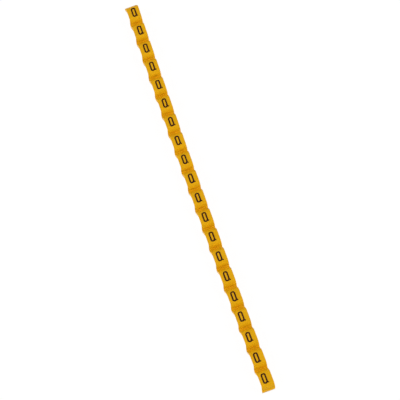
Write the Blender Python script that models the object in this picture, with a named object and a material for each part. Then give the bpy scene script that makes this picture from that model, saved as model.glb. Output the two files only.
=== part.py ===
"""A strip of clip-on wire markers, moulded in one piece, with one printed letter on each marker.

Run with: blender --background --python part.py, or from Blender's text editor.
Units are metres. The strip lies along Y on its feet, the wires cross it along X, and +Z is up.
The origin is under the middle of the strip, on the plane of the feet.
"""

import math

import bmesh
import bpy
from mathutils import Euler

MM = 0.001

# The strip, which bows a little to the left in its middle
MARKER_COUNT = 20
MARKER_WIDTH = 2.38 * MM
CLIP_GAP = 0.32 * MM
BOW_DEPTH = 0.38 * MM

# The clip that grips the wire, as seen along the wire
PASSAGE_DIAMETER = 2.4 * MM
CLIP_WALL = 0.64 * MM
THROAT_WIDTH = 1.8 * MM
LIP_HEIGHT = 0.456 * MM
FOOT_LENGTH = 0.25 * MM

# The web between two markers, with a break line above and below
GROOVE_DEPTH = 1.17 * MM
WEB_THICKNESS = 0.7 * MM
BREAK_NOTCH_WIDTH = 0.2 * MM
BREAK_NOTCH_DEPTH = 0.1 * MM

# The sides, which swell on the left and draw in on the right, so that neighbours nest on a wire
NUB_REACH = 0.26 * MM
NUB_LENGTH = 0.96 * MM
RECESS_REACH = 0.16 * MM
RECESS_LENGTH = 1.06 * MM
END_CORNER_RADIUS = 0.4 * MM
END_MARGIN = 0.08 * MM

# The printed letter
LETTER_HEIGHT = 1.94 * MM
LETTER_WIDTH = 0.9 * MM
STROKE_WIDTH = 0.27 * MM
LETTER_FLAT = 0.14 * MM
TAIL_RUN = 0.18 * MM
TAIL_RISE = 0.3 * MM
PRINT_MARGIN = 0.02 * MM
PRINT_THICKNESS = 0.04 * MM

# The print lies a little left of the middle line, and wanders across it along the strip
PRINT_SHIFT = -0.085 * MM
PRINT_DRIFT = 0.14 * MM

# How finely the round stretches are drawn
CLIP_ARC_STEP = math.radians(11)
CORNER_ARC_STEP = math.radians(23)
SMOOTH_ANGLE = math.radians(30)
WELD_DISTANCE = 0.00001 * MM

# Values that follow from the sizes above
PASSAGE_RADIUS = PASSAGE_DIAMETER / 2
CLIP_RADIUS = PASSAGE_RADIUS + CLIP_WALL
MARKER_PITCH = 2 * CLIP_RADIUS + CLIP_GAP
THROAT_DROP = math.sqrt(PASSAGE_RADIUS**2 - (THROAT_WIDTH / 2) ** 2)
FOOT_DROP = THROAT_DROP + LIP_HEIGHT
MOUTH_HALF_WIDTH = math.sqrt(CLIP_RADIUS**2 - FOOT_DROP**2) - FOOT_LENGTH
CREST_HALF_LENGTH = LETTER_HEIGHT / 2 + PRINT_MARGIN
CREST_RISE = math.sqrt(CLIP_RADIUS**2 - CREST_HALF_LENGTH**2)
CREST_HEIGHT = FOOT_DROP + CREST_RISE
WEB_TOP = CREST_RISE - GROOVE_DEPTH
WEB_BOTTOM = WEB_TOP - WEB_THICKNESS
STRIP_HALF_LENGTH = MARKER_COUNT / 2 * MARKER_PITCH
END_CORNER_START = STRIP_HALF_LENGTH + END_MARGIN - END_CORNER_RADIUS
LETTER_CORNER_RADIUS = (LETTER_WIDTH - LETTER_FLAT) / 2

# The finishes
YELLOW = (0.72, 0.38, 0.022, 1.0)
PLASTIC_ROUGHNESS = 0.42
INK = (0.012, 0.008, 0.006, 1.0)
INK_ROUGHNESS = 0.5


def clear_scene():
    for item in list(bpy.data.objects):
        bpy.data.objects.remove(item, do_unlink=True)


def new_collection(name):
    collection = bpy.data.collections.new(name)
    bpy.context.scene.collection.children.link(collection)
    return collection


def plain_material(name, colour, roughness):
    material = bpy.data.materials.new(name)
    material.use_nodes = True
    shader = material.node_tree.nodes["Principled BSDF"]
    shader.inputs["Base Color"].default_value = colour
    shader.inputs["Roughness"].default_value = roughness
    shader.inputs["Metallic"].default_value = 0.0
    material.diffuse_color = colour
    return material


def arc(centre, radius, start, end, step):
    """Points on an arc from the start angle to the end angle, both included, in equal steps."""
    count = max(2, math.ceil(abs(end - start) / step))
    angles = [start + (end - start) * i / count for i in range(count + 1)]
    return [(centre[0] + radius * math.cos(a), centre[1] + radius * math.sin(a)) for a in angles]


def marker_centre(index):
    """The place along the strip of one marker's middle."""
    return (index - (MARKER_COUNT - 1) / 2) * MARKER_PITCH


def clip_angle(height):
    """The angle at which the clip's round outside reaches a height above the passage's centre."""
    return math.asin(height / CLIP_RADIUS)


def break_line(along, height, inward):
    """The small V in the web's face: inward is -1 above it, drawn to +Y, and 1 below it, drawn to -Y."""
    side = BREAK_NOTCH_WIDTH / 2 * inward
    tip = (along, height + BREAK_NOTCH_DEPTH * inward)
    return [(along + side, height), tip, (along - side, height)]


def marker_top(along):
    """The upper outline of one marker, in the direction of the strip."""
    crest, web = clip_angle(CREST_RISE), clip_angle(WEB_TOP)
    centre = (along, 0)
    rise = arc(centre, CLIP_RADIUS, math.pi - web, math.pi - crest, CLIP_ARC_STEP)
    fall = arc(centre, CLIP_RADIUS, crest, web, CLIP_ARC_STEP)
    return rise + fall


def marker_bottom(along):
    """The lower outline of one marker, against the direction of the strip, with its wire passage."""
    foot, web = clip_angle(-FOOT_DROP), clip_angle(WEB_BOTTOM)
    throat = math.asin(THROAT_WIDTH / 2 / PASSAGE_RADIUS)
    centre = (along, 0)
    down = -math.pi / 2
    points = arc(centre, CLIP_RADIUS, web, foot, CLIP_ARC_STEP)
    points.append((along + MOUTH_HALF_WIDTH, -FOOT_DROP))
    points += arc(centre, PASSAGE_RADIUS, down + throat, down - throat + 2 * math.pi, CLIP_ARC_STEP)
    points.append((along - MOUTH_HALF_WIDTH, -FOOT_DROP))
    points += arc(centre, CLIP_RADIUS, -math.pi - foot, -math.pi - web, CLIP_ARC_STEP)
    return points


def side_outline():
    """The strip as seen along the wires: across is Y, up is the height above the passages' centres.

    Both ends are broken off at the middle of a break line.
    """
    centres = [marker_centre(index) for index in range(MARKER_COUNT)]
    points = break_line(-STRIP_HALF_LENGTH, WEB_TOP, -1)
    for centre in centres:
        points += marker_top(centre) + break_line(centre + MARKER_PITCH / 2, WEB_TOP, -1)
    points += break_line(STRIP_HALF_LENGTH, WEB_BOTTOM, 1)
    for centre in reversed(centres):
        points += marker_bottom(centre) + break_line(centre - MARKER_PITCH / 2, WEB_BOTTOM, 1)
    return [point for point in points if abs(point[0]) < STRIP_HALF_LENGTH + WELD_DISTANCE]


def bow(along):
    """How far the strip's middle line lies to the right of a straight one, at a place along the strip."""
    return BOW_DEPTH * ((along / STRIP_HALF_LENGTH) ** 2 - 0.5)


def swell(along, length):
    """A smooth rise from 0 to 1 over the length before each break line, and down again after it."""
    from_centre = min(abs(along - marker_centre(index)) for index in range(MARKER_COUNT))
    share = (from_centre - MARKER_PITCH / 2) / length + 1
    return 0.5 - 0.5 * math.cos(math.pi * min(max(share, 0), 1))


def leg_share(height):
    """How far down the legs a height is: 0 at the webs and above, 1 at the feet."""
    return min(max((WEB_BOTTOM - height) / (WEB_BOTTOM + FOOT_DROP), 0), 1)


def left_side(along, height):
    """The left side's place: it swells towards each web, and the swelling fades down the legs."""
    return -MARKER_WIDTH / 2 - NUB_REACH * swell(along, NUB_LENGTH) * (1 - leg_share(height))


def right_side(along, height):
    """The right side's place: it draws in towards each web and down the legs, with round end corners."""
    recess = swell(along, RECESS_LENGTH)
    recess += leg_share(height) * (1 - recess)
    past_corner = max(abs(along) - END_CORNER_START, 0)
    corner = END_CORNER_RADIUS - math.sqrt(END_CORNER_RADIUS**2 - past_corner**2)
    return MARKER_WIDTH / 2 - RECESS_REACH * recess - corner


def flat_solid(name, outlines, thickness, collection):
    """A closed mesh object made from flat outlines, holes included, extruded both ways from its plane."""
    curve = bpy.data.curves.new(name, "CURVE")
    curve.dimensions = "2D"
    curve.fill_mode = "BOTH"
    curve.extrude = thickness / 2
    for outline in outlines:
        spline = curve.splines.new("POLY")
        spline.points.add(len(outline) - 1)
        for point, (x, y) in zip(spline.points, outline):
            point.co = (x, y, 0, 1)
        spline.use_cyclic_u = True
    drawn = bpy.data.objects.new(name + "_curve", curve)
    collection.objects.link(drawn)
    graph = bpy.context.evaluated_depsgraph_get()
    mesh = bpy.data.meshes.new_from_object(drawn.evaluated_get(graph))
    bpy.data.objects.remove(drawn, do_unlink=True)
    bpy.data.curves.remove(curve)
    shape = bmesh.new()
    shape.from_mesh(mesh)
    bmesh.ops.remove_doubles(shape, verts=shape.verts, dist=WELD_DISTANCE)
    bmesh.ops.recalc_face_normals(shape, faces=shape.faces)
    shape.to_mesh(mesh)
    shape.free()
    mesh.name = name
    solid = bpy.data.objects.new(name, mesh)
    collection.objects.link(solid)
    return solid


def smooth(solid, material):
    solid.data.materials.clear()
    solid.data.materials.append(material)
    solid.data.shade_smooth()
    solid.data.set_sharp_from_angle(angle=SMOOTH_ANGLE)


def shape_sides(strip):
    """Moves the points of both sides, which were extruded flat, to where the waved sides lie."""
    for point in strip.data.vertices:
        along, height = point.co.y, point.co.z
        side = left_side if point.co.x < 0 else right_side
        point.co.x = side(along, height) + bow(along)
        point.co.z += FOOT_DROP


def build_strip(parts, material):
    """The moulded strip: its side profile, extruded to the width of a marker, with its sides waved."""
    strip = flat_solid("marker_strip", [side_outline()], MARKER_WIDTH, parts)
    strip.data.transform(Euler((math.pi / 2, 0, math.pi / 2)).to_matrix().to_4x4())
    shape_sides(strip)
    smooth(strip, material)
    return strip


def rounded_loop(half_width, half_height, radius):
    """A rectangle with round corners, counter-clockwise from its lower right corner."""
    quarter = math.pi / 2
    corners = [(1, -1, -quarter), (1, 1, 0), (-1, 1, quarter), (-1, -1, 2 * quarter)]
    points = []
    for right, up, start in corners:
        centre = (right * (half_width - radius), up * (half_height - radius))
        points += arc(centre, radius, start, start + quarter, CORNER_ARC_STEP)
    return points


def letter_outlines():
    """A tall block letter: one closed loop with a short slanting tail at its lower right."""
    half_width, half_height = LETTER_WIDTH / 2, LETTER_HEIGHT / 2
    outer = rounded_loop(half_width, half_height, LETTER_CORNER_RADIUS)
    corner_start = half_width - LETTER_CORNER_RADIUS
    above_corner = [point for point in outer if point[0] < corner_start or point[1] > 0]
    foot = [
        (corner_start, -half_height),
        (half_width + TAIL_RUN - STROKE_WIDTH / 2, -half_height),
        (half_width + TAIL_RUN, -half_height + STROKE_WIDTH / 2),
        (half_width, -half_height + TAIL_RISE + STROKE_WIDTH / 2),
    ]
    inner_radius = LETTER_CORNER_RADIUS - STROKE_WIDTH
    inner = rounded_loop(half_width - STROKE_WIDTH, half_height - STROKE_WIDTH, inner_radius)
    return [foot + above_corner, inner]


def build_letters(parts, material):
    """One printed letter on the flat crest of each marker, in line with the bowed strip."""
    outlines = letter_outlines()
    letters = []
    for index in range(MARKER_COUNT):
        letter = flat_solid(f"letter_{index + 1:02d}", outlines, PRINT_THICKNESS, parts)
        along = marker_centre(index)
        across = bow(along) + PRINT_SHIFT + PRINT_DRIFT * along / STRIP_HALF_LENGTH
        letter.location = (across, along, CREST_HEIGHT + PRINT_THICKNESS / 2)
        letter.rotation_euler.z = -math.atan(2 * BOW_DEPTH * along / STRIP_HALF_LENGTH**2)
        smooth(letter, material)
        letters.append(letter)
    return letters


def centre_on_origin(strip, letters):
    """Moves all pieces across, so that the middle of the strip's box is over the origin."""
    places = [point.co.x for point in strip.data.vertices]
    middle = (min(places) + max(places)) / 2
    for piece in [strip] + letters:
        piece.location.x -= middle


def main():
    clear_scene()
    parts = new_collection("cable_marker_strip")
    plastic = plain_material("yellow_plastic", YELLOW, PLASTIC_ROUGHNESS)
    ink = plain_material("black_print", INK, INK_ROUGHNESS)
    strip = build_strip(parts, plastic)
    letters = build_letters(parts, ink)
    centre_on_origin(strip, letters)


main()
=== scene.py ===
"""The finished look of a strip of clip-on wire markers, moulded in one piece and printed with a letter.

The moulding and its print are modelled finely here, in place of the plain solids of the frame.
The strip lies along Y on its feet, the wires cross it along X, and +Z is up. Units are metres.
"""

import logging
import math
from collections.abc import Callable
from dataclasses import dataclass, field
from enum import Enum

import bmesh
import bpy
from mathutils import Matrix, Quaternion, Vector


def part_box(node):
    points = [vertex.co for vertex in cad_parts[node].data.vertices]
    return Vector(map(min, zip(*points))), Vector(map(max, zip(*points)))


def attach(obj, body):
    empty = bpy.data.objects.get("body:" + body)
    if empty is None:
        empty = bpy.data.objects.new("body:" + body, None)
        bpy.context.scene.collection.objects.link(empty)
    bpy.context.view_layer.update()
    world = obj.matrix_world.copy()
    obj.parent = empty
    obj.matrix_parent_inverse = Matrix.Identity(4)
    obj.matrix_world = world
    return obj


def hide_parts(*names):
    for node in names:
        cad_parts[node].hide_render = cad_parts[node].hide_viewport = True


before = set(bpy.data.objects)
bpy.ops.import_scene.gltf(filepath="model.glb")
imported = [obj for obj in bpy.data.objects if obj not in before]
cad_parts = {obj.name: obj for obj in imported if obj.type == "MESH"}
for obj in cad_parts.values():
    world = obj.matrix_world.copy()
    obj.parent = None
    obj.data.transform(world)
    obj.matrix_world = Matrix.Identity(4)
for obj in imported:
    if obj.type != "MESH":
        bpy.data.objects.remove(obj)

LOG = logging.getLogger("marker_strip")

MM = 0.001
WELD = 0.00002 * MM
TOUCH = 0.002 * MM
SHARP_ANGLE = math.radians(35)
FACES_SIDEWAYS = 0.99
FACES_AWAY = 0.5


class Kind(Enum):
    """The kinds of mesh element that can be picked in edit mode."""

    POINT = "VERT"
    EDGE = "EDGE"
    FACE = "FACE"


class Side(Enum):
    """The way that one half of a marker looks along the strip."""

    LOW = -1
    HIGH = 1


def begin() -> None:
    """Leaves edit mode and deselects everything."""
    if bpy.context.object and bpy.context.object.mode != "OBJECT":
        bpy.ops.object.mode_set(mode="OBJECT")
    bpy.ops.object.select_all(action="DESELECT")


def activate(piece: bpy.types.Object) -> None:
    """Makes one object the only selected one and the active one."""
    begin()
    piece.select_set(True)
    bpy.context.view_layer.objects.active = piece


def edit(piece: bpy.types.Object) -> None:
    """Opens an object in edit mode with all of its mesh selected."""
    activate(piece)
    bpy.ops.object.mode_set(mode="EDIT")
    bpy.ops.mesh.select_all(action="SELECT")


def settle(piece: bpy.types.Object) -> None:
    """Puts an object's place, turn and scale into its mesh."""
    activate(piece)
    bpy.ops.object.transform_apply(location=True, rotation=True, scale=True)


def pick(kind: Kind, wanted: Callable[..., bool]) -> int:
    """Selects the elements of the mesh in edit mode that pass a test, and nothing else.

    Args:
        kind: the elements that are tested.
        wanted: the test, on one vertex, edge or face.

    Returns:
        How many elements were selected.
    """
    bpy.ops.mesh.select_mode(type=kind.value)
    bpy.ops.mesh.select_all(action="DESELECT")
    shape = bmesh.from_edit_mesh(bpy.context.object.data)
    pool = {Kind.POINT: shape.verts, Kind.EDGE: shape.edges, Kind.FACE: shape.faces}[kind]
    chosen = [item for item in pool if wanted(item)]
    for item in chosen:
        item.select_set(True)
    shape.select_flush_mode()
    bmesh.update_edit_mesh(bpy.context.object.data)
    return len(chosen)


def near(value: float, target: float) -> bool:
    """Whether two lengths are the same within a hair."""
    return abs(value - target) < TOUCH


def round_edges(wanted: Callable[..., bool], radius: float, steps: int) -> None:
    """Rounds the edges of the mesh in edit mode that pass a test."""
    count = pick(Kind.EDGE, wanted)
    bpy.ops.mesh.bevel(offset=radius, segments=steps, profile=0.5, affect="EDGES", clamp_overlap=False)
    LOG.info("rounded %d edges to %.3f mm", count, radius / MM)


def smooth(piece: bpy.types.Object) -> None:
    """Shades a piece smooth, with its flat faces flat up to their rounded edges."""
    activate(piece)
    bpy.ops.object.shade_smooth_by_angle(angle=SHARP_ANGLE)
    weigh = piece.modifiers.new("flat_faces", "WEIGHTED_NORMAL")
    weigh.keep_sharp = True
    bpy.ops.object.modifier_apply(modifier=weigh.name)


def close_up(piece: bpy.types.Object) -> None:
    """Merges the doubles of a mesh and turns its faces outwards."""
    edit(piece)
    bpy.ops.mesh.remove_doubles(threshold=WELD)
    bpy.ops.mesh.normals_make_consistent(inside=False)
    bpy.ops.object.mode_set(mode="OBJECT")


@dataclass(frozen=True)
class MouldedPlastic:
    """The satin yellow plastic of the moulding.

    Attributes:
        base: the colour over most of the surface.
        flow: the slightly deeper colour where the melt met or thinned.
        roughness: the middle of the range of roughness.
        shine: the level of the surface's gloss.
        cloud_size: the size of the drifts of colour, in metres.
        grain_size: the size of the fine texture of the mould's surface, in metres.
        grain_height: its height, in metres.
    """

    base: tuple[float, float, float, float] = (0.735, 0.378, 0.004, 1.0)
    flow: tuple[float, float, float, float] = (0.705, 0.355, 0.003, 1.0)
    roughness: float = 0.42
    shine: float = 0.1
    cloud_size: float = 1.6 * MM
    grain_size: float = 0.09 * MM
    grain_height: float = 0.004 * MM

    def make(self) -> bpy.types.Material:
        """Builds the material.

        Returns:
            The node material, on object coordinates.
        """
        board = Board("yellow_plastic")
        board.shader.inputs["Specular IOR Level"].default_value = self.shine
        clouds = board.noise(self.cloud_size, 3.0, 0.5)
        board.mix(clouds, self.base, self.flow, "Base Color")
        board.spread(board.noise(self.cloud_size / 3, 2.0, 0.5), self.roughness, 0.06, "Roughness")
        board.bump(board.noise(self.grain_size, 2.0, 0.6), self.grain_height)
        return board.material


@dataclass(frozen=True)
class MarkingInk:
    """The black print on the crests.

    Attributes:
        dense: the colour where the ink is thick.
        thin: the colour where it is thin.
        roughness: the middle of the range of roughness.
        shine: the level of the ink's gloss.
        patch_size: the size of the thin and thick patches, in metres.
        grain_height: the height of the ink's own texture, in metres.
    """

    dense: tuple[float, float, float, float] = (0.022, 0.004, 0.001, 1.0)
    thin: tuple[float, float, float, float] = (0.044, 0.008, 0.001, 1.0)
    roughness: float = 0.5
    shine: float = 0.1
    patch_size: float = 0.22 * MM
    grain_height: float = 0.003 * MM

    def make(self) -> bpy.types.Material:
        """Builds the material.

        Returns:
            The node material, on object coordinates.
        """
        board = Board("black_print")
        board.shader.inputs["Specular IOR Level"].default_value = self.shine
        patches = board.noise(self.patch_size, 3.0, 0.6)
        board.mix(patches, self.dense, self.thin, "Base Color")
        board.spread(patches, self.roughness, 0.08, "Roughness")
        board.bump(board.noise(self.patch_size / 5, 2.0, 0.5), self.grain_height)
        return board.material


class Board:
    """A new node material with one shader, and short ways to feed its sockets."""

    def __init__(self, name: str) -> None:
        """Starts the material.

        Args:
            name: the material's name.
        """
        self.material = bpy.data.materials.new(name)
        self.material.use_nodes = True
        self.tree = self.material.node_tree
        self.shader = self.tree.nodes["Principled BSDF"]
        self.place = self.tree.nodes.new("ShaderNodeTexCoord").outputs["Object"]

    def join(self, source: bpy.types.NodeSocket, target: bpy.types.NodeSocket) -> None:
        """Links two sockets."""
        self.tree.links.new(source, target)

    def noise(self, size: float, detail: float, rough: float) -> bpy.types.NodeSocket:
        """Adds a noise of a given size.

        Args:
            size: the size of its features, in metres.
            detail: how many finer layers it has.
            rough: how strong the finer layers are.

        Returns:
            The noise's value.
        """
        node = self.tree.nodes.new("ShaderNodeTexNoise")
        node.inputs["Scale"].default_value = 1.0 / size
        node.inputs["Detail"].default_value = detail
        node.inputs["Roughness"].default_value = rough
        self.join(self.place, node.inputs["Vector"])
        return node.outputs["Fac"]

    def mix(self, share: bpy.types.NodeSocket, low: tuple, high: tuple, target: str) -> None:
        """Feeds a shader socket with a colour between two.

        Args:
            share: the value that chooses between them.
            low: the colour at the value's low end.
            high: the colour at its high end.
            target: the shader's socket.
        """
        ramp = self.tree.nodes.new("ShaderNodeValToRGB")
        ramp.color_ramp.elements[0].position = 0.3
        ramp.color_ramp.elements[0].color = low
        ramp.color_ramp.elements[1].position = 0.7
        ramp.color_ramp.elements[1].color = high
        self.join(share, ramp.inputs["Fac"])
        self.join(ramp.outputs["Color"], self.shader.inputs[target])

    def spread(self, value: bpy.types.NodeSocket, middle: float, reach: float, target: str) -> None:
        """Feeds a shader socket with a value that wanders around a middle.

        Args:
            value: the wandering value, from 0 to 1.
            middle: the middle of the result.
            reach: how far it goes to either side.
            target: the shader's socket.
        """
        node = self.tree.nodes.new("ShaderNodeMapRange")
        node.inputs["From Min"].default_value = 0.3
        node.inputs["From Max"].default_value = 0.7
        node.inputs["To Min"].default_value = middle - reach
        node.inputs["To Max"].default_value = middle + reach
        self.join(value, node.inputs["Value"])
        self.join(node.outputs["Result"], self.shader.inputs[target])

    def bump(self, height: bpy.types.NodeSocket, depth: float) -> None:
        """Gives the shader a bumpy normal.

        Args:
            height: the value that is high on the bumps.
            depth: the height of the bumps, in metres.
        """
        node = self.tree.nodes.new("ShaderNodeBump")
        node.inputs["Strength"].default_value = 1.0
        node.inputs["Distance"].default_value = depth
        self.join(height, node.inputs["Height"])
        self.join(node.outputs["Normal"], self.shader.inputs["Normal"])


@dataclass
class MarkerStrip:
    """The moulded strip: C-shaped clips in a row, joined by thin webs with a break line in each.

    Attributes:
        passage_radius: the radius of the passage that grips the wire.
        wall: the thickness of the clip around it.
        throat_width: the way in for the wire.
        lip_height: from the throat down to the feet.
        foot_length: the flat of each foot along the strip.
        groove_depth: from the crests down to the webs.
        web_thickness: the height of the webs.
        notch_width: the width of the V-shaped break lines.
        notch_depth: their depth.
        width: the width of a marker's crest.
        nub_reach: how far the left side swells at the webs.
        nub_length: the length of that swelling, before and after each break line.
        recess_reach: how far the right side draws in there, and down the legs.
        recess_length: the length of that recess, before and after each break line.
        bow_depth: how far the middle of the strip lies to the left of its ends.
        end_corner_radius: the round corners at the strip's right-hand ends.
        end_margin: from the last clip to where such a corner would end.
        arc_step: the turn between two points of a round stretch.
        crest_softening: the rounding between the crest and the clip's round outside.
        softening_room: the length that the rounding needs on either side, as a share of its size.
        web_fillet: the hollow rounding between a clip and a web.
        lip_rounding: the rounding of the feet and of the throat's lips.
        rim_rounding: the rounding all round both long sides.
        finish: the plastic.
    """

    passage_radius: float = 1.2 * MM
    wall: float = 0.64 * MM
    throat_width: float = 1.8 * MM
    lip_height: float = 0.456 * MM
    foot_length: float = 0.25 * MM
    groove_depth: float = 1.17 * MM
    web_thickness: float = 0.7 * MM
    notch_width: float = 0.2 * MM
    notch_depth: float = 0.1 * MM
    width: float = 2.38 * MM
    nub_reach: float = 0.26 * MM
    nub_length: float = 0.96 * MM
    recess_reach: float = 0.16 * MM
    recess_length: float = 1.06 * MM
    bow_depth: float = 0.38 * MM
    end_corner_radius: float = 0.4 * MM
    end_margin: float = 0.08 * MM
    arc_step: float = math.radians(4)
    crest_softening: float = 0.2 * MM
    softening_room: float = 1.1
    web_fillet: float = 0.06 * MM
    lip_rounding: float = 0.07 * MM
    rim_rounding: float = 0.05 * MM
    finish: MouldedPlastic = field(default_factory=MouldedPlastic)

    def __post_init__(self) -> None:
        """Works out the other sizes from these and from the frame."""
        low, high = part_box("marker_strip")
        count = sum(name.startswith("letter_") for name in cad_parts)
        self.half_length = high.y
        self.clip_radius = self.passage_radius + self.wall
        self.pitch = 2 * self.half_length / count
        self.centres = [(index - (count - 1) / 2) * self.pitch for index in range(count)]
        self.middle_line = low.x + self.width / 2 + self.nub_reach + self.bow_depth / 2
        self.crest_height = high.z
        throat_drop = math.sqrt(self.passage_radius**2 - (self.throat_width / 2) ** 2)
        self.passage_height = throat_drop + self.lip_height
        rise = self.crest_height - self.passage_height
        self.crest_half_length = math.sqrt(self.clip_radius**2 - rise**2)
        self.crest_turn = math.acos(rise / self.clip_radius)
        self.soft_room = self.softening_room * self.crest_softening
        self.soft_turn = self.crest_turn + self.soft_room / self.clip_radius
        self.soft_radius = self.crest_softening / math.tan((self.crest_turn + self.soft_turn) / 4)
        self.web_top = self.crest_height - self.groove_depth
        self.web_bottom = self.web_top - self.web_thickness

    def turn_down_to(self, height: float) -> float:
        """The turn from the top of the clip's round outside down to a height."""
        return math.pi / 2 - math.asin((height - self.passage_height) / self.clip_radius)

    def crest_drop(self, distance: float) -> float:
        """How far the softened crest has sunk at a distance along the strip from its middle."""
        past = max(abs(distance) - self.crest_half_length + self.crest_softening, 0)
        return self.soft_radius - math.sqrt(self.soft_radius**2 - past**2)

    def radius_at(self, place: Vector) -> float:
        """The distance of a point from the axis of the passage that it is nearest to."""
        return math.hypot(self.from_centre(place.y), place.z - self.passage_height)

    def from_centre(self, along: float) -> float:
        """How far a place along the strip is from the middle of its marker."""
        return min(abs(along - centre) for centre in self.centres)

    def swell(self, along: float, length: float) -> float:
        """A smooth rise from 0 to 1 over the length before each break line, and down again after it."""
        share = (self.from_centre(along) - self.pitch / 2) / length + 1
        return 0.5 - 0.5 * math.cos(math.pi * min(max(share, 0), 1))

    def leg_share(self, height: float) -> float:
        """How far down the legs a height is: 0 at the webs and above, 1 at the feet."""
        return min(max((self.web_bottom - height) / self.web_bottom, 0), 1)

    def left_side(self, along: float, height: float) -> float:
        """The left side's place: it swells towards each web, and the swelling fades down the legs."""
        nub = self.nub_reach * self.swell(along, self.nub_length)
        return -self.width / 2 - nub * (1 - self.leg_share(height))

    def right_side(self, along: float, height: float) -> float:
        """The right side's place: it draws in towards each web and down the legs, with round end corners."""
        recess = self.swell(along, self.recess_length)
        recess += self.leg_share(height) * (1 - recess)
        corner_start = self.half_length + self.end_margin - self.end_corner_radius
        past_corner = max(abs(along) - corner_start, 0)
        corner = self.end_corner_radius - math.sqrt(self.end_corner_radius**2 - past_corner**2)
        return self.width / 2 - self.recess_reach * recess - corner

    def bow(self, along: float) -> float:
        """The place of the strip's middle line, which bows to the left."""
        return self.middle_line + self.bow_depth * ((along / self.half_length) ** 2 - 0.5)

    def spin_clip(self) -> bpy.types.Object:
        """Turns the section of the clip's wall from the crest down to the throat.

        Returns:
            Half a clip, with its section at the top and at the throat.
        """
        middle = (self.passage_radius + self.clip_radius) / 2
        place = (0, 0, self.passage_height + middle)
        begin()
        bpy.ops.mesh.primitive_plane_add(size=1, location=place, rotation=(math.pi / 2, 0, 0))
        half = bpy.context.object
        half.scale = (self.width, self.wall, 1)
        settle(half)
        edit(half)
        throat = math.pi - math.asin(self.throat_width / 2 / self.passage_radius)
        web = [self.turn_down_to(height) for height in (self.web_top, self.web_bottom)]
        stops = [0, self.crest_turn, self.soft_turn, *web, throat]
        for start, end in zip(stops, stops[1:]):
            steps = 1 if end == self.soft_turn else math.ceil((end - start) / self.arc_step)
            axis_place = (0, 0, self.passage_height)
            bpy.ops.mesh.spin(steps=steps, angle=end - start, center=axis_place, axis=(1, 0, 0))
        return half

    def draw_foot(self) -> None:
        """Draws the throat's section down to the foot, which leaves a flare for the wire."""
        foot_end = math.sqrt(self.clip_radius**2 - self.passage_height**2)
        bpy.ops.mesh.extrude_region_move(TRANSFORM_OT_translate={"value": (0, 0, -self.lip_height)})
        shape = bmesh.from_edit_mesh(bpy.context.object.data)
        moved = sorted((point.co.copy() for point in shape.verts if point.select), key=lambda co: co.y)
        for old, along in ((moved[0], foot_end - self.foot_length), (moved[-1], foot_end)):
            pick(Kind.POINT, lambda point, old=old: near(point.co.y, old.y) and near(point.co.z, old.z))
            bpy.ops.transform.translate(value=(0, along - old.y, -old.z))
        seam_height = moved[-1].z + self.lip_height
        pick(Kind.EDGE, lambda edge: all(near(p.co.z, seam_height) and p.co.y > foot_end for p in edge.verts))
        bpy.ops.mesh.dissolve_edges(use_verts=True)

    def flatten_crest(self) -> None:
        """Cuts the clip's top flat, for the print."""
        bpy.ops.mesh.select_all(action="SELECT")
        bpy.ops.mesh.bisect(
            plane_co=(0, 0, self.crest_height),
            plane_no=(0, 0, 1),
            use_fill=True,
            clear_outer=True,
            threshold=WELD,
        )
        pick(Kind.FACE, lambda face: near(face.calc_center_median().y, 0) and abs(face.normal.y) > 0.9)
        bpy.ops.mesh.delete(type="FACE")
        pick(Kind.EDGE, self.crowds_softening)
        bpy.ops.mesh.dissolve_edges(use_verts=True)

    def crowds_softening(self, edge: bmesh.types.BMEdge) -> bool:
        """Whether an edge runs up a long side to where the softened end of the crest needs room."""
        low, high = sorted((point.co for point in edge.verts), key=lambda co: co.z)
        room = self.crest_half_length - high.y
        rises_to_crest = near(high.z, self.crest_height) and high.z - low.z > TOUCH
        return rises_to_crest and TOUCH < room < self.soft_room

    def draw_web(self, broken: bool) -> None:
        """Draws a web out of the clip's outside as far as the break line.

        Args:
            broken: whether the strip ends there, with a closed face.
        """
        pick(Kind.FACE, self.bears_web)
        shoulder = self.pitch / 2 - self.notch_width / 2
        reach = (0, shoulder - self.clip_radius, 0)
        bpy.ops.mesh.extrude_region_move(TRANSFORM_OT_translate={"value": reach})
        bpy.ops.transform.resize(value=(1, 0, 1), center_override=(0, shoulder, 0))
        bpy.ops.mesh.extrude_region_move(TRANSFORM_OT_translate={"value": (0, self.notch_width / 2, 0)})
        neck = 1 - 2 * self.notch_depth / self.web_thickness
        middle = (self.web_top + self.web_bottom) / 2
        bpy.ops.transform.resize(value=(1, 1, neck), center_override=(0, 0, middle))
        if not broken:
            bpy.ops.mesh.delete(type="FACE")

    def bears_web(self, face: bmesh.types.BMFace) -> bool:
        """Whether a face lies on the round outside of the clip at the height of the web."""
        radii = [math.hypot(point.co.y, point.co.z - self.passage_height) for point in face.verts]
        outside = all(near(radius, self.clip_radius) for radius in radii)
        heights = [point.co.z for point in face.verts]
        level = min(heights) > self.web_bottom - TOUCH and max(heights) < self.web_top + TOUCH
        return outside and level

    def half_marker(self, broken: bool) -> bpy.types.Object:
        """Models half of a marker at the origin, towards +Y.

        Args:
            broken: whether its web is broken off at the break line.

        Returns:
            The half, open where its neighbours join it.
        """
        half = self.spin_clip()
        self.draw_foot()
        self.flatten_crest()
        self.draw_web(broken)
        bpy.ops.object.mode_set(mode="OBJECT")
        return half

    def place_half(self, half: bpy.types.Object, centre: float, side: Side) -> bpy.types.Object:
        """Copies a half to a marker's place.

        Args:
            half: the half that is copied, with its own mesh.
            centre: the middle of the marker.
            side: the way that the copy looks.

        Returns:
            The copy.
        """
        copy = half.copy()
        copy.data = half.data.copy()
        copy.data.transform(Matrix.Translation((0, centre, 0)) @ Matrix.Scale(side.value, 4, (0, 1, 0)))
        if side is Side.LOW:
            copy.data.flip_normals()
        bpy.context.scene.collection.objects.link(copy)
        return copy

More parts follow.
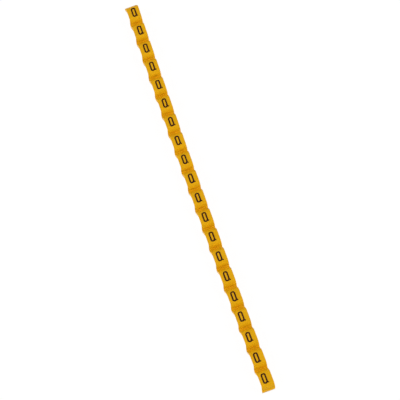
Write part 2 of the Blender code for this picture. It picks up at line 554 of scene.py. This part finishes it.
    def join_markers(self) -> bpy.types.Object:
        """Sets out all the markers and joins them into one closed moulding.

        Returns:
            The moulding, with sharp edges.
        """
        joined, broken = self.half_marker(False), self.half_marker(True)
        halves = []
        for centre in self.centres:
            low = broken if centre == self.centres[0] else joined
            high = broken if centre == self.centres[-1] else joined
            halves.append(self.place_half(low, centre, Side.LOW))
            halves.append(self.place_half(high, centre, Side.HIGH))
        begin()
        for half in halves:
            half.select_set(True)
        bpy.context.view_layer.objects.active = halves[0]
        bpy.ops.object.join()
        for master in (joined, broken):
            bpy.data.objects.remove(master, do_unlink=True)
        close_up(halves[0])
        return halves[0]

    def is_crest_end(self, edge: bmesh.types.BMEdge) -> bool:
        """Whether an edge is where the crest ends and the round outside begins."""
        return all(
            near(point.co.z, self.crest_height) and near(self.from_centre(point.co.y), self.crest_half_length)
            for point in edge.verts
        )

    def is_web_root(self, edge: bmesh.types.BMEdge) -> bool:
        """Whether an edge is the hollow corner between a clip and the top or bottom of a web."""
        return all(
            near(self.radius_at(point.co), self.clip_radius)
            and (near(point.co.z, self.web_top) or near(point.co.z, self.web_bottom))
            for point in edge.verts
        ) and edge.calc_face_angle_signed(0) < -math.radians(30)

    def is_lip(self, edge: bmesh.types.BMEdge) -> bool:
        """Whether an edge runs along a foot or along one of the throat's lips."""
        across = abs(edge.verts[0].co.x - edge.verts[1].co.x) > self.width / 2
        height = edge.verts[0].co.z
        return across and (near(height, 0) or near(height, self.lip_height)) and edge.calc_face_angle(0) > 0.3

    def is_rim(self, edge: bmesh.types.BMEdge) -> bool:
        """Whether an edge bounds one of the two long sides."""
        facing = sorted(abs(face.normal.x) for face in edge.link_faces)
        return facing[0] < FACES_AWAY and facing[-1] > FACES_SIDEWAYS

    def round_off(self, strip: bpy.types.Object) -> None:
        """Rounds all of the moulding's edges.

        Args:
            strip: the moulding.
        """
        edit(strip)
        round_edges(self.is_crest_end, self.crest_softening, 4)
        round_edges(self.is_web_root, self.web_fillet, 3)
        round_edges(self.is_lip, self.lip_rounding, 3)
        round_edges(self.is_rim, self.rim_rounding, 3)
        bpy.ops.object.mode_set(mode="OBJECT")

    def wave_sides(self, strip: bpy.types.Object) -> None:
        """Moves every point across, from between two flat sides to between the waved and bowed ones.

        Args:
            strip: the moulding.
        """
        for point in strip.data.vertices:
            along, height = point.co.y, point.co.z
            left, right = self.left_side(along, height), self.right_side(along, height)
            share = point.co.x / self.width + 0.5
            point.co.x = left + share * (right - left) + self.bow(along)

    def build(self) -> bpy.types.Object:
        """Models and finishes the strip.

        Returns:
            The finished piece.
        """
        strip = self.join_markers()
        strip.name = strip.data.name = "moulded_strip"
        self.round_off(strip)
        self.wave_sides(strip)
        smooth(strip)
        strip.data.materials.clear()
        strip.data.materials.append(self.finish.make())
        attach(strip, "root")
        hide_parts("marker_strip")
        LOG.info("%s has %d faces", strip.name, len(strip.data.polygons))
        return strip


@dataclass
class PrintedLetters:
    """The print on the crests: a tall round-cornered block letter with a short tail, on each marker.

    Attributes:
        strip: the strip that they are printed on.
        height: the height of the letter, along the strip.
        width: the width of its loop.
        stroke: the width of its lines.
        corner_radius: the outer radius of the loop's corners.
        corner_steps: how many faces each corner is made of.
        tail_run: how far the tail reaches past the loop.
        tail_start: where the tail starts, from the loop's lower right corner.
        tail_inset: from the tail's reach and the letter's foot to the middle of its end, in strokes.
        tail_width: the width of the tail, in strokes.
        proud: how far the print stands off the plastic.
        softening: the rounding of the ink's upper edge.
        shift: how far the print lies to the right of the strip's middle line.
        drift: how much further right it lies at the strip's high end.
        finish: the ink.
    """

    strip: MarkerStrip
    height: float = 1.94 * MM
    width: float = 0.9 * MM
    stroke: float = 0.27 * MM
    corner_radius: float = 0.38 * MM
    corner_steps: int = 8
    tail_run: float = 0.18 * MM
    tail_start: tuple[float, float] = (-0.3 * MM, 0.42 * MM)
    tail_inset: tuple[float, float] = (0.26, 0.31)
    tail_width: float = 0.8
    proud: float = 0.03 * MM
    softening: float = 0.012 * MM
    shift: float = -0.085 * MM
    drift: float = 0.14 * MM
    finish: MarkingInk = field(default_factory=MarkingInk)

    def loop(self) -> bpy.types.Object:
        """Draws the letter's closed loop around the origin.

        Returns:
            The loop, as a closed mesh.
        """
        begin()
        bpy.ops.mesh.primitive_plane_add(size=1, location=(0, 0, self.strip.crest_height))
        piece = bpy.context.object
        piece.scale = (self.width, self.height, 1)
        settle(piece)
        edit(piece)
        steps = self.corner_steps
        bpy.ops.mesh.bevel(offset=self.corner_radius, segments=steps, profile=0.5, affect="VERTICES")
        bpy.ops.mesh.select_all(action="SELECT")
        bpy.ops.mesh.inset(thickness=self.stroke)
        bpy.ops.mesh.delete(type="FACE")
        self.thicken()
        return piece

    def tail(self) -> bpy.types.Object:
        """Draws the tail, a slanting stroke across the loop's lower right corner.

        Returns:
            The tail, as a closed mesh.
        """
        corner = Vector((self.width / 2, -self.height / 2))
        start = corner + Vector(self.tail_start)
        inset, lift = (share * self.stroke for share in self.tail_inset)
        end = corner + Vector((self.tail_run - inset, lift))
        middle, way = (start + end) / 2, end - start
        begin()
        bpy.ops.mesh.primitive_plane_add(size=1, location=(middle.x, middle.y, self.strip.crest_height))
        piece = bpy.context.object
        piece.scale = (way.length, self.stroke * self.tail_width, 1)
        piece.rotation_euler.z = math.atan2(way.y, way.x)
        settle(piece)
        edit(piece)
        self.thicken()
        return piece

    def thicken(self) -> None:
        """Gives the flat shape in edit mode the ink's thickness."""
        bpy.ops.mesh.select_all(action="SELECT")
        bpy.ops.mesh.extrude_region_move(TRANSFORM_OT_translate={"value": (0, 0, self.proud)})
        bpy.ops.mesh.select_all(action="SELECT")
        bpy.ops.mesh.normals_make_consistent(inside=False)
        bpy.ops.object.mode_set(mode="OBJECT")

    def letter(self) -> bpy.types.Object:
        """Models one whole letter over the origin.

        Returns:
            The letter.
        """
        letter, tail = self.loop(), self.tail()
        activate(letter)
        union = letter.modifiers.new("tail", "BOOLEAN")
        union.operation = "UNION"
        union.object = tail
        bpy.ops.object.modifier_apply(modifier=union.name)
        bpy.data.objects.remove(tail, do_unlink=True)
        edit(letter)
        round_edges(self.is_upper_edge, self.softening, 2)
        bpy.ops.object.mode_set(mode="OBJECT")
        for point in letter.data.vertices:
            point.co.z -= self.strip.crest_drop(point.co.y)
        return letter

    def is_upper_edge(self, edge: bmesh.types.BMEdge) -> bool:
        """Whether an edge bounds the ink's upper face."""
        top = self.strip.crest_height + self.proud
        level = all(abs(point.co.z - top) < WELD for point in edge.verts)
        return level and edge.calc_face_angle(0) > 1

    def spot(self, along: float) -> Matrix:
        """The place and turn of a letter that is printed in line with the bowed strip.

        Args:
            along: the middle of its marker.

        Returns:
            The move from over the origin.
        """
        share = along / self.strip.half_length
        across = self.strip.bow(along) + self.shift + self.drift * share
        turn = -math.atan(2 * self.strip.bow_depth * share / self.strip.half_length)
        return Matrix.Translation((across, along, 0)) @ Matrix.Rotation(turn, 4, "Z")

    def build(self) -> list[bpy.types.Object]:
        """Models and finishes the print of every marker.

        Returns:
            The finished pieces.
        """
        nodes = sorted(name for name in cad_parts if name.startswith("letter_"))
        master = self.letter()
        ink = self.finish.make()
        letters = []
        for node, along in zip(nodes, self.strip.centres):
            copy = master.copy()
            copy.data = master.data.copy()
            copy.data.transform(self.spot(along))
            copy.name = copy.data.name = node.replace("letter", "printed_letter")
            bpy.context.scene.collection.objects.link(copy)
            smooth(copy)
            copy.data.materials.clear()
            copy.data.materials.append(ink)
            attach(copy, "root")
            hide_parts(node)
            letters.append(copy)
        bpy.data.objects.remove(master, do_unlink=True)
        LOG.info("%d letters of %d faces each", len(letters), len(letters[0].data.polygons))
        return letters


@dataclass(frozen=True)
class SoftBox:
    """A square lamp that points at the middle of the strip.

    Attributes:
        name: its name.
        direction: where it stands, as seen from the strip.
        distance: how far off it stands.
        size: the length of its sides.
        share: the part of a surface's written colour that it gives when it shines straight down on it.
    """

    name: str
    direction: tuple[float, float, float]
    distance: float
    size: float
    share: float

    def place(self) -> None:
        """Adds the lamp."""
        lamp = bpy.data.lights.new(self.name, "AREA")
        lamp.shape = "SQUARE"
        lamp.size = self.size
        lamp.energy = self.share * math.pi**2 * self.distance**2
        item = bpy.data.objects.new(self.name, lamp)
        way = Vector(self.direction).normalized()
        item.location = way * self.distance
        item.rotation_mode = "QUATERNION"
        item.rotation_quaternion = (-way).to_track_quat("-Z", "Y")
        bpy.context.scene.collection.objects.link(item)


@dataclass(frozen=True)
class Viewpoint:
    """The camera, at the angle of the photograph.

    Attributes:
        aim: the place on the crests that the middle of the image shows.
        distance: from there to the camera.
        elevation: the camera's height above the horizon.
        roll: the turn of the camera about its line of sight.
        lens: the focal length, in millimetres, for a sensor that is 36 mm wide.
    """

    aim: tuple[float, float, float] = (0.064 * MM, -2.58 * MM, 2.801 * MM)
    distance: float = 293.85 * MM
    elevation: float = math.radians(70.03)
    roll: float = math.radians(-19.8)
    lens: float = 144.48

    def place(self) -> None:
        """Adds the camera and makes it the scene's."""
        camera = bpy.data.cameras.new("camera")
        camera.sensor_width = 36
        camera.lens = self.lens
        camera.clip_start = 0.01
        item = bpy.data.objects.new("camera", camera)
        way = Vector((0, -math.cos(self.elevation), math.sin(self.elevation)))
        item.location = Vector(self.aim) + way * self.distance
        item.rotation_mode = "QUATERNION"
        item.rotation_quaternion = (-way).to_track_quat("-Z", "Y") @ Quaternion((0, 0, 1), self.roll)
        bpy.context.scene.collection.objects.link(item)
        bpy.context.scene.camera = item


@dataclass
class Studio:
    """A white table, a white room and soft lamps.

    Attributes:
        floor_size: the length of the floor's sides.
        glow_share: the part of the floor's white that no shadow takes away.
        paper_shade: the shade of the paper that gives the rest.
        table_shade: the shade by which the floor throws light back on the strip.
        table_roughness: the roughness of the floor for that light.
        room_light: the light of the room, as a share of a surface's written colour.
        lamps: the lamps.
        viewpoint: the camera.
    """

    floor_size: float = 3.0
    glow_share: float = 0.94
    paper_shade: float = 0.08
    table_shade: float = 0.8
    table_roughness: float = 0.9
    room_light: float = 0.25
    lamps: tuple[SoftBox, ...] = (
        SoftBox("left_lamp", (-0.7, 0, 0.7), 0.6, 0.4, 0.44),
        SoftBox("right_lamp", (0.7, 0, 0.7), 0.6, 0.4, 0.44),
        SoftBox("front_left_lamp", (-0.85, -0.5, 0.15), 0.6, 0.4, 0.48),
        SoftBox("front_right_lamp", (0.85, -0.5, 0.15), 0.6, 0.4, 0.48),
        SoftBox("back_left_lamp", (-0.85, 0.5, 0.15), 0.6, 0.4, 0.18),
        SoftBox("back_right_lamp", (0.85, 0.5, 0.15), 0.6, 0.4, 0.18),
    )
    viewpoint: Viewpoint = field(default_factory=Viewpoint)

    def floor(self) -> None:
        """Lays the white floor that keeps a faint shadow of the strip."""
        begin()
        bpy.ops.mesh.primitive_plane_add(size=self.floor_size, location=(0, 0, 0))
        floor = bpy.context.object
        floor.name = "floor"
        board = Board("white_table")
        board.shader.inputs["Base Color"].default_value = grey(self.table_shade)
        board.shader.inputs["Roughness"].default_value = self.table_roughness
        nodes = board.tree.nodes
        glow = nodes.new("ShaderNodeEmission")
        paper = nodes.new("ShaderNodeBsdfDiffuse")
        seen = nodes.new("ShaderNodeAddShader")
        choice = nodes.new("ShaderNodeMixShader")
        glow.inputs["Strength"].default_value = self.glow_share
        paper.inputs["Color"].default_value = grey(self.paper_shade)
        board.join(glow.outputs[0], seen.inputs[0])
        board.join(paper.outputs[0], seen.inputs[1])
        board.join(is_looked_at(board.tree), choice.inputs["Fac"])
        board.join(board.shader.outputs[0], choice.inputs[1])
        board.join(seen.outputs[0], choice.inputs[2])
        board.join(choice.outputs[0], nodes["Material Output"].inputs["Surface"])
        floor.data.materials.append(board.material)

    def room(self) -> None:
        """Sets the plain light of the room, and its white where it is seen."""
        world = bpy.data.worlds.new("white_room")
        world.use_nodes = True
        tree = world.node_tree
        light = tree.nodes["Background"]
        light.inputs["Color"].default_value = grey(1)
        light.inputs["Strength"].default_value = self.room_light
        white = tree.nodes.new("ShaderNodeBackground")
        white.inputs["Color"].default_value = grey(1)
        choice = tree.nodes.new("ShaderNodeMixShader")
        tree.links.new(is_looked_at(tree), choice.inputs["Fac"])
        tree.links.new(light.outputs[0], choice.inputs[1])
        tree.links.new(white.outputs[0], choice.inputs[2])
        tree.links.new(choice.outputs[0], tree.nodes["World Output"].inputs["Surface"])
        bpy.context.scene.world = world

    def build(self) -> None:
        """Sets up the floor, the light and the camera."""
        self.floor()
        self.room()
        for lamp in self.lamps:
            lamp.place()
        self.viewpoint.place()
        bpy.context.scene.view_settings.view_transform = "Standard"


def grey(shade: float) -> tuple[float, float, float, float]:
    """An opaque grey of a given shade, from 0 to 1."""
    return (shade, shade, shade, 1)


def is_looked_at(tree: bpy.types.NodeTree) -> bpy.types.NodeSocket:
    """Adds nodes that tell what is seen, straight or in a gloss, from what only gives light.

    Args:
        tree: the node tree that gets them.

    Returns:
        A socket that is 1 for what is seen.
    """
    path = tree.nodes.new("ShaderNodeLightPath")
    value = path.outputs["Is Camera Ray"]
    for name in ("Is Glossy Ray", "Is Transmission Ray"):
        either = tree.nodes.new("ShaderNodeMath")
        either.operation = "MAXIMUM"
        tree.links.new(value, either.inputs[0])
        tree.links.new(path.outputs[name], either.inputs[1])
        value = either.outputs[0]
    return value


def main() -> None:
    """Builds the strip, its print and the studio."""
    logging.basicConfig(level=logging.INFO, format="%(name)s: %(message)s")
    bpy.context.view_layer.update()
    strip = MarkerStrip()
    strip.build()
    PrintedLetters(strip).build()
    Studio().build()


if __name__ == "__main__":
    main()
